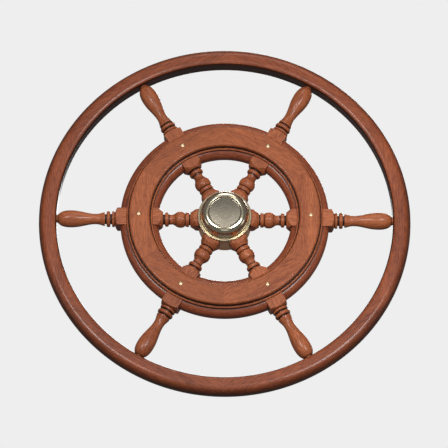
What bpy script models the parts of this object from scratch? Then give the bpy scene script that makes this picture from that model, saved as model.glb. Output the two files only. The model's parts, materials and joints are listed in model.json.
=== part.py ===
"""Six-spoked ship's steering wheel on a short helm shaft, as separate parts.

The wheel is designed lying on a bench with its face up: radii from the spin axis, heights towards
the face, and height zero at the middle of the spokes. One parent empty stands it upright, so that
in the world the spin axis is Y, the face looks along -Y and the six spokes lie in the XZ plane.
The origin is the centre of the mounting face of the shaft bearing.
"""

import math

import bmesh
import bpy
from mathutils import Matrix, Vector

MM = 0.001
GAP = 0.3

# Driving dimensions, in millimetres
SPOKES = 6
RIM_OUTER_R, RIM_INNER_R, RIM_HALF_DEPTH = 350.0, 316.8, 17.5
RIM_OUTER_ROUND, RIM_INNER_ROUND = 12.0, 7.0
FELLOE_OUTER_R, FELLOE_INNER_R, FELLOE_HALF_DEPTH, FELLOE_ROUND = 196.8, 125.3, 15.0, 14.0
SPOKE_HALF_WIDTH = 17.0
FACING_OUTER_R, FACING_INNER_R, FACING_THICKNESS = 184.5, 135.8, 12.2
FACING_BACK = SPOKE_HALF_WIDTH + GAP
FACING_FRONT = FACING_BACK + FACING_THICKNESS
SCREW_CIRCLE_R, SCREW_R, SCREW_HEAD_R = 161.4, 2.2, 3.9
HUB_R, HUB_FRONT, HUB_BACK, HUB_RECESS_FLOOR = 49.8, 17.2, -26.0, 12.2
FLANGE_R, FLANGE_THICKNESS, PLATE_THICKNESS = 50.5, 3.5, 3.7
HUB_TENON_R, RIM_TENON_R = 8.0, 7.5
RIM_TENON_END, HUB_TENON_END, SOCKET_LENGTH = 331.0, 30.0, 40.0
CAP_SPIGOT_R, CAP_WALL, CAP_FACE, CAP_LIP, SEAL_MIDDLE = 37.6, 2.4, 40.4, 43.9, 16.0
SHAFT_R, THREAD_R, SHAFT_BACK, SHAFT_FRONT = 12.5, 10.0, -104.0, 33.0
BEARING_FACE = -50.0
BEARING_FLANGE_R, BEARING_NOSE_R, BOLT_CIRCLE_R = 38.0, 24.0, 31.0

HUB_PLATE_BORE_R, FRONT_SCREW_CIRCLE_R, REAR_SCREW_CIRCLE_R = 18.8, 43.5, 40.0
WASHER_R, WASHER_THICKNESS, NUT_CORNER_R, NUT_HEIGHT = 18.0, 3.0, 17.3, 14.0
KEY_SIZE, KEY_MIDDLE = (6.0, 5.0, 30.0), (0.0, 12.9, -8.0)
COLLAR_R, COLLAR_FRONT, COLLAR_LENGTH = 20.0, -92.6, 8.0
BEARING_NOSE_FRONT, BEARING_TAIL, BEARING_FLANGE_THICKNESS = -32.5, -92.0, 8.0
BUSH_R, FRONT_BUSH_END, REAR_BUSH_START, RUNNING_GAP = 17.0, -54.0, -70.0, 0.35
BOLTS, BOLT_R, BOLT_HEAD_R, BOLT_HEAD_HEIGHT, BOLT_LENGTH = 4, 3.0, 4.8, 4.5, 30.0

# Fineness of the facets
ARC_STEPS, SPOKE_SIDES, ROUND_SIDES, SMALL_SIDES = 6, 8, 24, 8

# Principled BSDF values: colour, roughness, metallic
FINISHES = {
    "mahogany_rim": ((0.32, 0.095, 0.045), 0.32, 0.0),
    "mahogany_spoke": ((0.40, 0.13, 0.055), 0.30, 0.0),
    "mahogany_felloe": ((0.36, 0.11, 0.05), 0.32, 0.0),
    "mahogany_facing": ((0.38, 0.125, 0.055), 0.30, 0.0),
    "brass_screw": ((0.86, 0.62, 0.30), 0.25, 1.0),
    "bronze_hub": ((0.66, 0.44, 0.24), 0.35, 1.0),
    "brass_flange": ((0.80, 0.66, 0.38), 0.20, 1.0),
    "polished_brass": ((0.72, 0.66, 0.48), 0.10, 1.0),
    "black_rubber": ((0.02, 0.02, 0.02), 0.60, 0.0),
    "stainless_steel": ((0.62, 0.62, 0.63), 0.28, 1.0),
    "bearing_bronze": ((0.45, 0.28, 0.13), 0.40, 1.0),
    "white_enamel": ((0.75, 0.75, 0.73), 0.35, 0.0),
}


def clear_scene():
    for obj in list(bpy.data.objects):
        bpy.data.objects.remove(obj)


def new_collection(name):
    collection = bpy.data.collections.new(name)
    bpy.context.scene.collection.children.link(collection)
    return collection


def new_material(name, colour, roughness, metallic):
    material = bpy.data.materials.new(name)
    material.use_nodes = True
    shader = material.node_tree.nodes["Principled BSDF"]
    shader.inputs["Base Color"].default_value = (*colour, 1.0)
    shader.inputs["Roughness"].default_value = roughness
    shader.inputs["Metallic"].default_value = metallic
    return material


def new_empty(name, parent=None):
    empty = bpy.data.objects.new(name, None)
    empty.empty_display_size = 60 * MM
    empty.parent = parent
    parts.objects.link(empty)
    return empty


def add_part(name, mesh, parent, finish):
    obj = bpy.data.objects.new(name, mesh)
    obj.parent = parent
    mesh.materials.append(materials[finish])
    mesh.shade_smooth()
    mesh.set_sharp_from_angle(angle=math.radians(35))
    parts.objects.link(obj)
    return obj


def add_cutter(name, mesh, parent):
    obj = bpy.data.objects.new(name, mesh)
    obj.parent = parent
    obj.hide_render = True
    obj.display_type = "WIRE"
    cutters.objects.link(obj)
    return obj


def finish_mesh(bm, name):
    mesh = bpy.data.meshes.new(name)
    bmesh.ops.recalc_face_normals(bm, faces=bm.faces)
    bm.to_mesh(mesh)
    bm.free()
    return mesh


def profile_mesh(name, points, closed):
    """A turned outline: (radius, height) points down the outer side, closed when it misses the axis."""
    bm = bmesh.new()
    verts = [bm.verts.new((radius * MM, 0, height * MM)) for radius, height in points]
    for first, second in zip(verts, verts[1:]):
        bm.edges.new((first, second))
    if closed:
        bm.edges.new((verts[-1], verts[0]))
    mesh = bpy.data.meshes.new(name)
    bm.to_mesh(mesh)
    bm.free()
    return mesh


def add_screw(obj, sides):
    turn = obj.modifiers.new("turn", "SCREW")
    turn.steps = turn.render_steps = sides
    turn.use_merge_vertices = True
    turn.merge_threshold = 0.00001
    turn.use_smooth_shade = True
    return turn


def turned_part(name, points, parent, finish, sides=ROUND_SIDES, closed=True):
    obj = add_part(name, profile_mesh(name, points, closed), parent, finish)
    add_screw(obj, sides)
    return obj


def turned_cutter(name, points, parent, sides=SMALL_SIDES):
    obj = add_cutter(name, profile_mesh(name, points, closed=False), parent)
    add_screw(obj, sides)
    return obj


def block_mesh(name, size, centre):
    bm = bmesh.new()
    place = Matrix.Translation(Vector(centre) * MM) @ Matrix.Diagonal((*(Vector(size) * MM), 1))
    bmesh.ops.create_cube(bm, size=1, matrix=place)
    return finish_mesh(bm, name)


def hexagon_mesh(name, corner_r, height, middle):
    bm = bmesh.new()
    place = Matrix.Translation((0, 0, middle * MM))
    bmesh.ops.create_cone(
        bm,
        segments=6,
        radius1=corner_r * MM,
        radius2=corner_r * MM,
        depth=height * MM,
        cap_ends=True,
        matrix=place,
    )
    return finish_mesh(bm, name)


def cut(obj, cutter, operation="DIFFERENCE"):
    modifier = obj.modifiers.new(f"{operation.lower()} {cutter.name}", "BOOLEAN")
    modifier.operation = operation
    modifier.object = cutter
    modifier.solver = "EXACT"


def lay_along_spoke(obj, angle, distance=0.0):
    """Turns a shape drawn up its own Z axis so that it points outwards along a spoke."""
    obj.rotation_euler = (0, math.pi / 2, angle)
    obj.location = (distance * MM * math.cos(angle), distance * MM * math.sin(angle), 0)


def stand_on_circle(obj, radius, angle):
    obj.location = (radius * MM * math.cos(angle), radius * MM * math.sin(angle), 0)


def corner(centre_r, centre_h, radius, first_degrees, steps):
    """A quarter round, turning anticlockwise from first_degrees."""
    angles = [math.radians(first_degrees + 90 * step / steps) for step in range(steps + 1)]
    return [(centre_r + radius * math.cos(a), centre_h + radius * math.sin(a)) for a in angles]


def rounded_section(inner_r, outer_r, half_depth, inner_round, outer_round, steps):
    outside, inside = outer_r - outer_round, inner_r + inner_round
    return (
        corner(outside, half_depth - outer_round, outer_round, 0, steps)
        + corner(inside, half_depth - inner_round, inner_round, 90, steps)
        + corner(inside, inner_round - half_depth, inner_round, 180, steps)
        + corner(outside, outer_round - half_depth, outer_round, 270, steps)
    )


def facing_section(side):
    """The moulded section of a facing ring: a flat face between two rounded walls, each with a step."""
    half_width = (FACING_OUTER_R - FACING_INNER_R) / 2
    middle = (FACING_OUTER_R + FACING_INNER_R) / 2
    right_half = [
        (half_width, FACING_BACK),
        (half_width, FACING_BACK + 2.5),
        (half_width - 4.1, FACING_BACK + 4.0),
        (half_width - 4.6, FACING_FRONT - 3.0),
        (half_width - 7.2, FACING_FRONT),
    ]
    left_half = [(-r, h) for r, h in reversed(right_half)]
    return [(middle + r, side * h) for r, h in right_half + left_half]


def swept_arc(section, middle_angle, half_sweep, steps=ARC_STEPS):
    """A bmesh of one closed section swept round the axis, half_sweep each way from middle_angle."""
    bm = bmesh.new()
    face = bm.faces.new([bm.verts.new((r * MM, 0, h * MM)) for r, h in section])
    start = Matrix.Rotation(middle_angle - half_sweep, 3, "Z")
    bmesh.ops.rotate(bm, verts=bm.verts, cent=(0, 0, 0), matrix=start)
    geometry = [face, *face.edges, *face.verts]
    bmesh.ops.spin(
        bm, geom=geometry, cent=(0, 0, 0), axis=(0, 0, 1), angle=2 * half_sweep, steps=steps
    )
    return bm


def trim_flat(bm, point, normal):
    """Cuts away what lies on the normal's side of a plane and closes the cut with one face."""
    geometry = [*bm.verts, *bm.edges, *bm.faces]
    result = bmesh.ops.bisect_plane(
        bm, geom=geometry, plane_co=point, plane_no=normal, clear_outer=True
    )
    edges = [item for item in result["geom_cut"] if isinstance(item, bmesh.types.BMEdge)]
    bmesh.ops.contextual_create(bm, geom=edges)


def spoke_angle(index):
    return 2 * math.pi * index / SPOKES


def turned_spoke_profile():
    """(distance from the axis, radius) along a spoke. Where the radius is BLOCK the bar stays square."""
    block = 25.0
    return [
        (HUB_TENON_END, 0),
        (HUB_TENON_END, HUB_TENON_R),
        (50.2, HUB_TENON_R),
        (50.2, block),
        (57.0, block),
        (64.4, 13.6),
        (64.6, 11.6),
        (66.9, 11.6),
        (67.1, 13.4),
        (73.5, 13.4),
        (84.0, 15.0),
        (97.0, 9.8),
        (105.3, 11.0),
        (106.0, 13.5),
        (112.0, 13.5),
        (112.3, 11.0),
        (115.5, 11.0),
        (121.0, block),
        (201.2, block),
        (205.8, 15.3),
        (211.8, 14.8),
        (212.0, 11.5),
        (214.6, 11.5),
        (218.5, 15.4),
        (222.4, 11.0),
        (225.0, 11.0),
        (225.3, 13.3),
        (236.0, 10.4),
        (246.0, 9.8),
        (272.0, 14.8),
        (288.0, 16.1),
        (308.0, 12.8),
        (314.5, RIM_TENON_R),
        (RIM_TENON_END, RIM_TENON_R),
        (RIM_TENON_END, 0),
    ]


def socket_cutter(name, radius):
    """A cylinder up its own Z axis, for the hole that takes a spoke's round end."""
    outline = [(0, SOCKET_LENGTH), (radius, SOCKET_LENGTH), (radius, 0), (0, 0)]
    return turned_cutter(name, outline, wheel, SPOKE_SIDES)


def make_rim():
    """Six curved lengths butted midway between the spokes, each socketed for one spoke."""
    section = rounded_section(
        RIM_INNER_R, RIM_OUTER_R, RIM_HALF_DEPTH, RIM_INNER_ROUND, RIM_OUTER_ROUND, steps=2
    )
    half_sweep = math.pi / SPOKES - GAP / 2 / RIM_INNER_R
    for index in range(SPOKES):
        angle = spoke_angle(index)
        mesh = finish_mesh(swept_arc(section, angle, half_sweep), f"rim_segment_{index + 1}")
        obj = add_part(mesh.name, mesh, wheel, "mahogany_rim")
        cutter = socket_cutter(f"rim_socket_{index + 1}", RIM_TENON_R + GAP)
        lay_along_spoke(cutter, angle, RIM_TENON_END + GAP - SOCKET_LENGTH)
        cut(obj, cutter)


def make_spokes():
    """Each spoke is one square bar turned on a lathe, which leaves it square where it is let in."""
    for index in range(SPOKES):
        angle = spoke_angle(index)
        outline = [(radius, distance) for distance, radius in reversed(turned_spoke_profile())]
        name = f"spoke_{index + 1}"
        obj = turned_part(name, outline, wheel, "mahogany_spoke", SPOKE_SIDES, closed=False)
        lay_along_spoke(obj, angle)
        length = RIM_TENON_END - HUB_TENON_END + SPOKE_HALF_WIDTH
        middle = (RIM_TENON_END + HUB_TENON_END) / 2
        size = (2 * SPOKE_HALF_WIDTH, 2 * SPOKE_HALF_WIDTH, length)
        bar = add_cutter(f"square_bar_{index + 1}", block_mesh("bar", size, (0, 0, middle)), wheel)
        lay_along_spoke(bar, angle)
        cut(obj, bar, "INTERSECT")
        cut(obj, screw_holes[index])


def make_felloes():
    """The main ring: six curved blocks, each fitted between the square parts of two spokes."""
    section = rounded_section(
        FELLOE_INNER_R, FELLOE_OUTER_R, FELLOE_HALF_DEPTH, FELLOE_ROUND, FELLOE_ROUND, steps=2
    )
    for index in range(SPOKES):
        middle = spoke_angle(index + 0.5)
        bm = swept_arc(section, middle, math.pi / SPOKES)
        for end, side in ((spoke_angle(index), -1), (spoke_angle(index + 1), 1)):
            normal = Vector((-math.sin(end), math.cos(end), 0)) * side
            trim_flat(bm, normal * -(SPOKE_HALF_WIDTH + GAP) * MM, normal)
        name = f"felloe_{index + 1}"
        add_part(name, finish_mesh(bm, name), wheel, "mahogany_felloe")


def make_facing_rings():
    """A moulded ring in front of the spokes and one behind, jointed midway between the spokes."""
    half_sweep = math.pi / SPOKES - GAP / 2 / FACING_INNER_R
    for name, side in (("front_ring_segment", 1), ("rear_ring_segment", -1)):
        for index in range(SPOKES):
            bm = swept_arc(facing_section(side), spoke_angle(index), half_sweep)
            mesh = finish_mesh(bm, f"{name}_{index + 1}")
            obj = add_part(mesh.name, mesh, wheel, "mahogany_facing")
            cut(obj, screw_holes[index])


def make_screw_holes():
    """One long countersunk hole a spoke, through the front ring and spoke into the rear ring."""
    hole_r, head_r = SCREW_R + GAP, SCREW_HEAD_R + GAP
    neck = FACING_FRONT - (SCREW_HEAD_R - SCREW_R)
    above, bottom = FACING_FRONT + 2, -FACING_BACK - 9
    holes = []
    for index in range(SPOKES):
        outline = [
            (0, above),
            (head_r, above),
            (head_r, FACING_FRONT),
            (hole_r, neck),
            (hole_r, bottom),
            (0, bottom),
        ]
        cutter = turned_cutter(f"screw_hole_{index + 1}", outline, wheel)
        stand_on_circle(cutter, SCREW_CIRCLE_R, spoke_angle(index))
        holes.append(cutter)
    return holes


def make_ring_screws():
    """Long wood screws with raised countersunk heads. They draw the three rings together."""
    neck = FACING_FRONT - (SCREW_HEAD_R - SCREW_R)
    outline = [
        (0, FACING_FRONT + 1.1),
        (SCREW_HEAD_R * 0.6, FACING_FRONT + 0.8),
        (SCREW_HEAD_R, FACING_FRONT),
        (SCREW_R, neck - GAP),
        (SCREW_R, -FACING_BACK - 5),
        (0, -FACING_BACK - 8),
    ]
    for index in range(SPOKES):
        name = f"ring_screw_{index + 1}"
        obj = turned_part(name, outline, wheel, "brass_screw", SMALL_SIDES, closed=False)
        stand_on_circle(obj, SCREW_CIRCLE_R, spoke_angle(index))


def make_hub():
    """The bronze drum that holds the spokes, and the two plates screwed to its ends."""
    bore = SHAFT_R + GAP
    recess = CAP_SPIGOT_R + 0.7
    outline = [
        (recess, HUB_FRONT),
        (HUB_R, HUB_FRONT),
        (HUB_R, HUB_BACK),
        (bore, HUB_BACK),
        (bore, HUB_RECESS_FLOOR),
        (recess, HUB_RECESS_FLOOR),
    ]
    drum = turned_part("hub_drum", outline, wheel, "bronze_hub")
    for index in range(SPOKES):
        cutter = socket_cutter(f"hub_socket_{index + 1}", HUB_TENON_R + GAP)
        lay_along_spoke(cutter, spoke_angle(index), HUB_TENON_END - GAP)
        cut(drum, cutter)
    keyway_size = (KEY_SIZE[0] + 2 * GAP, KEY_SIZE[1] + 2 * GAP, 2 * HUB_R)
    keyway = add_cutter("keyway", block_mesh("keyway", keyway_size, KEY_MIDDLE), wheel)
    cut(drum, keyway)
    front = HUB_FRONT + GAP
    flange = [
        (recess, front + FLANGE_THICKNESS),
        (FLANGE_R - 1, front + FLANGE_THICKNESS),
        (FLANGE_R, front + FLANGE_THICKNESS - 1),
        (FLANGE_R, front),
        (recess, front),
    ]
    front_plate = turned_part("hub_front_plate", flange, wheel, "brass_flange")
    back = HUB_BACK - GAP
    plate = [
        (HUB_PLATE_BORE_R, back),
        (HUB_R, back),
        (HUB_R, back - PLATE_THICKNESS + 1),
        (HUB_R - 1, back - PLATE_THICKNESS),
        (HUB_PLATE_BORE_R, back - PLATE_THICKNESS),
    ]
    rear_plate = turned_part("hub_rear_plate", plate, wheel, "bronze_hub")
    front_face, rear_face = front + FLANGE_THICKNESS, back - PLATE_THICKNESS
    add_plate_screws("front_plate_screw", front_plate, drum, front_face, FRONT_SCREW_CIRCLE_R)
    add_plate_screws("rear_plate_screw", rear_plate, drum, rear_face, REAR_SCREW_CIRCLE_R)


def add_plate_screws(name, plate, drum, face, circle_r):
    """Three countersunk screws between the spokes, which pass through a plate into the drum."""
    head_r, shank_r, depth, sunk, cone = 2.6, 1.4, 7.0, 0.4, 1.6
    hole = [
        (0, 1.0),
        (head_r + GAP, 1.0),
        (head_r + GAP, -sunk),
        (shank_r + GAP, -sunk - cone),
        (shank_r + GAP, -depth - 1),
        (0, -depth - 1),
    ]
    screw = [
        (0, -sunk),
        (head_r, -sunk),
        (shank_r, -sunk - cone),
        (shank_r, -depth),
        (0, -depth),
    ]
    for index in range(3):
        angle = spoke_angle(2 * index + 0.5)
        cutter = turned_cutter(f"{name}_hole_{index + 1}", hole, wheel)
        numbered = f"{name}_{index + 1}"
        obj = turned_part(numbered, screw, wheel, "brass_screw", SMALL_SIDES, closed=False)
        for item in (cutter, obj):
            stand_on_circle(item, circle_r, angle)
            item.location.z = face * MM
            item.rotation_euler = (0 if face > 0 else math.pi, 0, 0)
        cut(plate, cutter)
        cut(drum, cutter)


def make_hub_cap():
    """A spun brass cap with a sunk disc, whose spigot and seal push into the drum's front recess."""
    seat = HUB_FRONT + FLANGE_THICKNESS + 2 * GAP
    spigot_end = HUB_RECESS_FLOOR + 1.0
    inner_r, groove_r = CAP_SPIGOT_R - CAP_WALL, CAP_SPIGOT_R - 1.5
    outline = [
        (0, CAP_FACE),
        (30.0, CAP_FACE),
        (30.3, CAP_LIP - 0.5),
        (31.2, CAP_LIP),
        (33.0, CAP_LIP),
        (34.0, CAP_LIP - 0.9),
        (38.3, 38.6),
        (41.8, 33.2),
        (44.6, 27.4),
        (46.5, seat),
        (CAP_SPIGOT_R, seat),
        (CAP_SPIGOT_R, SEAL_MIDDLE + 1.4),
        (groove_r, SEAL_MIDDLE + 1.2),
        (groove_r, SEAL_MIDDLE - 1.2),
        (CAP_SPIGOT_R, SEAL_MIDDLE - 1.4),
        (CAP_SPIGOT_R, spigot_end),
        (inner_r, spigot_end),
        (inner_r, CAP_FACE - 3.5 * CAP_WALL),
        (inner_r - 4, CAP_FACE - CAP_WALL),
        (0, CAP_FACE - CAP_WALL),
    ]
    turned_part("hub_cap", outline, cap, "polished_brass", closed=False)
    ring = [
        (CAP_SPIGOT_R + 0.35, SEAL_MIDDLE + 0.6),
        (CAP_SPIGOT_R + 0.35, SEAL_MIDDLE - 0.6),
        (groove_r + 0.4, SEAL_MIDDLE - 0.8),
        (groove_r + 0.4, SEAL_MIDDLE + 0.8),
    ]
    turned_part("cap_seal_ring", ring, cap, "black_rubber")


def make_shaft():
    """The helm shaft with its key, washer, nut and the collar that keeps it in the bearing."""
    outline = [
        (0, SHAFT_FRONT),
        (THREAD_R - 1, SHAFT_FRONT),
        (THREAD_R, SHAFT_FRONT - 1),
        (THREAD_R, HUB_RECESS_FLOOR - 1.5),
        (SHAFT_R, HUB_RECESS_FLOOR - 1.5),
        (SHAFT_R, SHAFT_BACK + 1),
        (SHAFT_R - 1, SHAFT_BACK),
        (0, SHAFT_BACK),
    ]
    shaft = turned_part("helm_shaft", outline, wheel, "stainless_steel", closed=False)
    seat_size = tuple(side + 2 * GAP for side in KEY_SIZE)
    seat = add_cutter("key_seat", block_mesh("key_seat", seat_size, KEY_MIDDLE), wheel)
    cut(shaft, seat)
    key_mesh = block_mesh("shaft_key", KEY_SIZE, KEY_MIDDLE)
    add_part("shaft_key", key_mesh, wheel, "stainless_steel")
    floor, bore = HUB_RECESS_FLOOR + GAP, THREAD_R + GAP
    top = floor + WASHER_THICKNESS
    washer = [(bore, top), (WASHER_R, top), (WASHER_R, floor), (bore, floor)]
    turned_part("shaft_washer", washer, wheel, "stainless_steel")
    nut_mesh = hexagon_mesh("shaft_nut", NUT_CORNER_R, NUT_HEIGHT, top + GAP + NUT_HEIGHT / 2)
    nut = add_part("shaft_nut", nut_mesh, wheel, "stainless_steel")
    thread = [(0, CAP_LIP), (bore, CAP_LIP), (bore, 0), (0, 0)]
    cut(nut, turned_cutter("nut_thread", thread, wheel, ROUND_SIDES))
    collar_back = COLLAR_FRONT - COLLAR_LENGTH
    collar = [
        (SHAFT_R + GAP, COLLAR_FRONT),
        (COLLAR_R, COLLAR_FRONT),
        (COLLAR_R, collar_back),
        (SHAFT_R + GAP, collar_back),
    ]
    turned_part("shaft_collar", collar, wheel, "stainless_steel")


def make_bearing():
    """The fixed flanged bearing behind the hub, its two bushes and its four mounting bolts."""
    bore = BUSH_R + GAP
    flange_front = BEARING_FACE + BEARING_FLANGE_THICKNESS
    outline = [
        (bore, BEARING_NOSE_FRONT),
        (BEARING_NOSE_R, BEARING_NOSE_FRONT),
        (BEARING_NOSE_R, flange_front),
        (BEARING_FLANGE_R, flange_front),
        (BEARING_FLANGE_R, BEARING_FACE),
        (BEARING_NOSE_R, BEARING_FACE),
        (BEARING_NOSE_R, BEARING_TAIL),
        (bore, BEARING_TAIL),
    ]
    housing = turned_part("bearing_housing", outline, base, "white_enamel")
    add_bush("front_bush", BEARING_NOSE_FRONT, FRONT_BUSH_END)
    add_bush("rear_bush", REAR_BUSH_START, BEARING_TAIL)
    hole_r, through = BOLT_R + GAP, -2 * BEARING_FLANGE_THICKNESS
    hole = [(0, 1), (hole_r, 1), (hole_r, through), (0, through)]
    bolt = [
        (0, BOLT_HEAD_HEIGHT),
        (BOLT_HEAD_R, BOLT_HEAD_HEIGHT),
        (BOLT_HEAD_R, GAP),
        (BOLT_R, GAP),
        (BOLT_R, -BOLT_LENGTH),
        (0, -BOLT_LENGTH),
    ]
    for index in range(BOLTS):
        angle = math.pi / BOLTS + 2 * math.pi * index / BOLTS
        cutter = turned_cutter(f"bolt_hole_{index + 1}", hole, base)
        name = f"mounting_bolt_{index + 1}"
        obj = turned_part(name, bolt, base, "stainless_steel", SMALL_SIDES, closed=False)
        for item in (cutter, obj):
            stand_on_circle(item, BOLT_CIRCLE_R, angle)
            item.location.z = flange_front * MM
        cut(housing, cutter)


def add_bush(name, front, back):
    bore = SHAFT_R + RUNNING_GAP
    outline = [(bore, front), (BUSH_R, front), (BUSH_R, back), (bore, back)]
    turned_part(name, outline, base, "bearing_bronze")


clear_scene()
parts = new_collection("ship_steering_wheel")
cutters = new_collection("cutters")
materials = {name: new_material(name, *values) for name, values in FINISHES.items()}

# The empties on the joint axes: the fixed base, the turning wheel and the cap that pulls forward
base = new_empty("bench_frame")
base.rotation_euler = (math.pi / 2, 0, 0)
base.location = (0, BEARING_FACE * MM, 0)
wheel = new_empty("wheel_spin", base)
cap = new_empty("cap_pull", wheel)

screw_holes = make_screw_holes()
make_rim()
make_spokes()
make_felloes()
make_facing_rings()
make_ring_screws()
make_hub()
make_hub_cap()
make_shaft()
make_bearing()
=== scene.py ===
# %% [markdown]
# # A ship's steering wheel, piece by piece
# The real wheel is joiner's work. Six spokes are turned on a lathe and tenoned into a metal hub. Six
# curved blocks, the felloes, fill the gaps between them, and two moulded rings are screwed on in front
# and behind. A round rim joins the handles at the outside. The engineering model already holds every
# size and every joint axis, so this script only makes the fine surfaces and their finishes around it.

# %% Load the frame
import json
import math

import bmesh
import bpy
from mathutils import Matrix, Vector


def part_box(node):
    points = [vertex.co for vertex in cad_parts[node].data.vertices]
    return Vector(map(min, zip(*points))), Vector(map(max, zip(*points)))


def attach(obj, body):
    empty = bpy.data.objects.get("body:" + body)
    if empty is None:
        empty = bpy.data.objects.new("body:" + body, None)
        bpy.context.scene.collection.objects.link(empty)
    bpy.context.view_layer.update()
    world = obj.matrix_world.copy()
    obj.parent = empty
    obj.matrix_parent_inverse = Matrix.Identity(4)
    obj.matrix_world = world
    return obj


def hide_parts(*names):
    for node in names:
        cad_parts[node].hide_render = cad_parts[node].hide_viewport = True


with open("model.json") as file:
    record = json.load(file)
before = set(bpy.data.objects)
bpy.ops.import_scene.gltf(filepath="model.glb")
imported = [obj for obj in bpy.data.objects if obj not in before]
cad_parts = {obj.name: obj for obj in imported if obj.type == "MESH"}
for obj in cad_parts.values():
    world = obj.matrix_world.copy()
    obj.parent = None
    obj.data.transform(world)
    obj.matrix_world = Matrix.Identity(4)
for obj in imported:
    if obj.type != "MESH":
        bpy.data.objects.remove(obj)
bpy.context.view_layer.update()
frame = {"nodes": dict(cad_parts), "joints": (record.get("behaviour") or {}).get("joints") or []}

# %% [markdown]
# ## The bench
# A wheel is easiest to describe lying on a bench, face up: a radius from the axle and a height towards
# the face. So every piece is made there, in millimetres, and one matrix, taken from the axle's position
# in the frame, stands it up in its place.

# %% Bench and axle
MM = 0.001
SPOKES = 6
axle = next(joint for joint in frame["joints"] if joint["name"] == "wheel_spin")
BENCH = Matrix.Translation(axle["pos_m"]) @ Matrix.Rotation(math.pi / 2, 4, "X")
print("axle through", [round(v, 3) for v in BENCH.translation])


def bench_size(node):
    """A node's least and greatest radius and least and greatest height on the bench, in millimetres."""
    points = [BENCH.inverted() @ vertex.co / MM for vertex in frame["nodes"][node].data.vertices]
    radii = [math.hypot(point.x, point.y) for point in points]
    heights = [point.z for point in points]
    return min(radii), max(radii), min(heights), max(heights)


# %% [markdown]
# ## Camera
# The wheel is seen squarely from the front and 22 degrees from below, from far away, so that its circles
# show as clean ellipses.

# %% Camera
VIEW_FROM_BELOW = math.radians(22.2)
VIEW_DISTANCE = 5.6
VIEW_ROLL = math.radians(0.45)
LENS_MM, SENSOR_MM = 239.0, 36.0

camera_data = bpy.data.cameras.new("camera")
camera_data.lens = LENS_MM
camera_data.sensor_width = SENSOR_MM
camera_data.shift_x = -0.0016
camera_data.shift_y = -0.0088
camera = bpy.data.objects.new("camera", camera_data)
bpy.context.scene.collection.objects.link(camera)
away = Vector((0, -math.cos(VIEW_FROM_BELOW), -math.sin(VIEW_FROM_BELOW)))
camera.location = BENCH.translation + away * VIEW_DISTANCE
camera.rotation_mode = "QUATERNION"
level = (-away).to_track_quat("-Z", "Y").to_matrix()
camera.rotation_quaternion = (level @ Matrix.Rotation(VIEW_ROLL, 3, "Z")).to_quaternion()
bpy.context.scene.camera = camera
print("camera at", [round(v, 2) for v in camera.location])

# %% [markdown]
# ## Studio
# Two soft lights nearly straight ahead give most of the light. The others are weak, and mostly show as
# reflections in the brass. The pale backdrop is only seen: the world gives much less light, so that
# undersides stay dark, and reflections see a grey between the two. The floor lies far below, out of reach
# of the lights, so it has a glow of its own, which the wheel doesn't see.

# %% Studio lights and floor
BACKDROP = 0.855
MIRRORED_WORLD = 0.15
WORLD_LIGHT = 0.06
FLOOR_DROP = 2.6
FLOOR_GLOW = 0.62
FLOOR_HALF = 30
LIGHTS = {
    # name: (place in metres, width in metres, watts)
    "right_light": ((1.5, -4.8, 0.1), 1.3, 112),
    "left_light": ((-1.5, -4.8, 0.4), 1.3, 92),
    "top_light": ((0.2, -2.6, 3.4), 1.6, 26),
    "front_light": ((0.2, -4.3, 0.9), 1.9, 3.6),
    "low_light": ((0.0, -3.4, -2.5), 1.5, 5.5),
    "left_strip": ((-3.4, -0.9, -0.7), 1.1, 4.5),
    "right_strip": ((3.4, -0.9, -0.7), 1.1, 4.5),
    "back_light": ((0.6, 3.4, 2.2), 1.6, 60),
}

for name, (place, width, watts) in LIGHTS.items():
    data = bpy.data.lights.new(name, "AREA")
    data.size = width
    data.energy = watts
    light = bpy.data.objects.new(name, data)
    light.location = place
    light.rotation_mode = "QUATERNION"
    light.rotation_quaternion = (BENCH.translation - Vector(place)).to_track_quat("-Z", "Y")
    bpy.context.scene.collection.objects.link(light)

world = bpy.data.worlds.new("studio")
world.use_nodes = True
bpy.context.scene.world = world
bpy.context.scene.view_settings.view_transform = "Standard"
nodes, links = world.node_tree.nodes, world.node_tree.links
nodes.clear()
ray = nodes.new("ShaderNodeLightPath")


def background(strength):
    node = nodes.new("ShaderNodeBackground")
    node.inputs["Color"].default_value = (1, 1, 1, 1)
    node.inputs["Strength"].default_value = strength
    return node.outputs["Background"]


def chosen(kind_of_ray, others, for_it):
    """One background for one kind of ray, and another for all the others."""
    node = nodes.new("ShaderNodeMixShader")
    links.new(ray.outputs[kind_of_ray], node.inputs["Fac"])
    links.new(others, node.inputs[1])
    links.new(for_it, node.inputs[2])
    return node.outputs["Shader"]


unseen = chosen("Is Glossy Ray", background(WORLD_LIGHT), background(MIRRORED_WORLD))
output = nodes.new("ShaderNodeOutputWorld")
links.new(chosen("Is Camera Ray", unseen, background(BACKDROP)), output.inputs["Surface"])

bm = bmesh.new()
bmesh.ops.create_grid(bm, x_segments=8, y_segments=8, size=FLOOR_HALF)
bmesh.ops.translate(bm, verts=bm.verts, vec=(0, 0, -FLOOR_DROP))
floor_mesh = bpy.data.meshes.new("floor")
bm.to_mesh(floor_mesh)
bm.free()
floor = bpy.data.objects.new("floor", floor_mesh)
bpy.context.scene.collection.objects.link(floor)
floor_paint = bpy.data.materials.new("pale_floor")
floor_paint.use_nodes = True
floor_shader = floor_paint.node_tree.nodes["Principled BSDF"]
floor_shader.inputs["Base Color"].default_value = (0.86, 0.86, 0.86, 1)
floor_shader.inputs["Roughness"].default_value = 0.9
floor_shader.inputs["Emission Color"].default_value = (1, 1, 1, 1)
floor_shader.inputs["Emission Strength"].default_value = FLOOR_GLOW
floor_mesh.materials.append(floor_paint)
floor.visible_diffuse = False
floor.visible_glossy = False
print("studio:", len(LIGHTS), "lights and a floor", FLOOR_DROP, "m below the axle")

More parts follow.
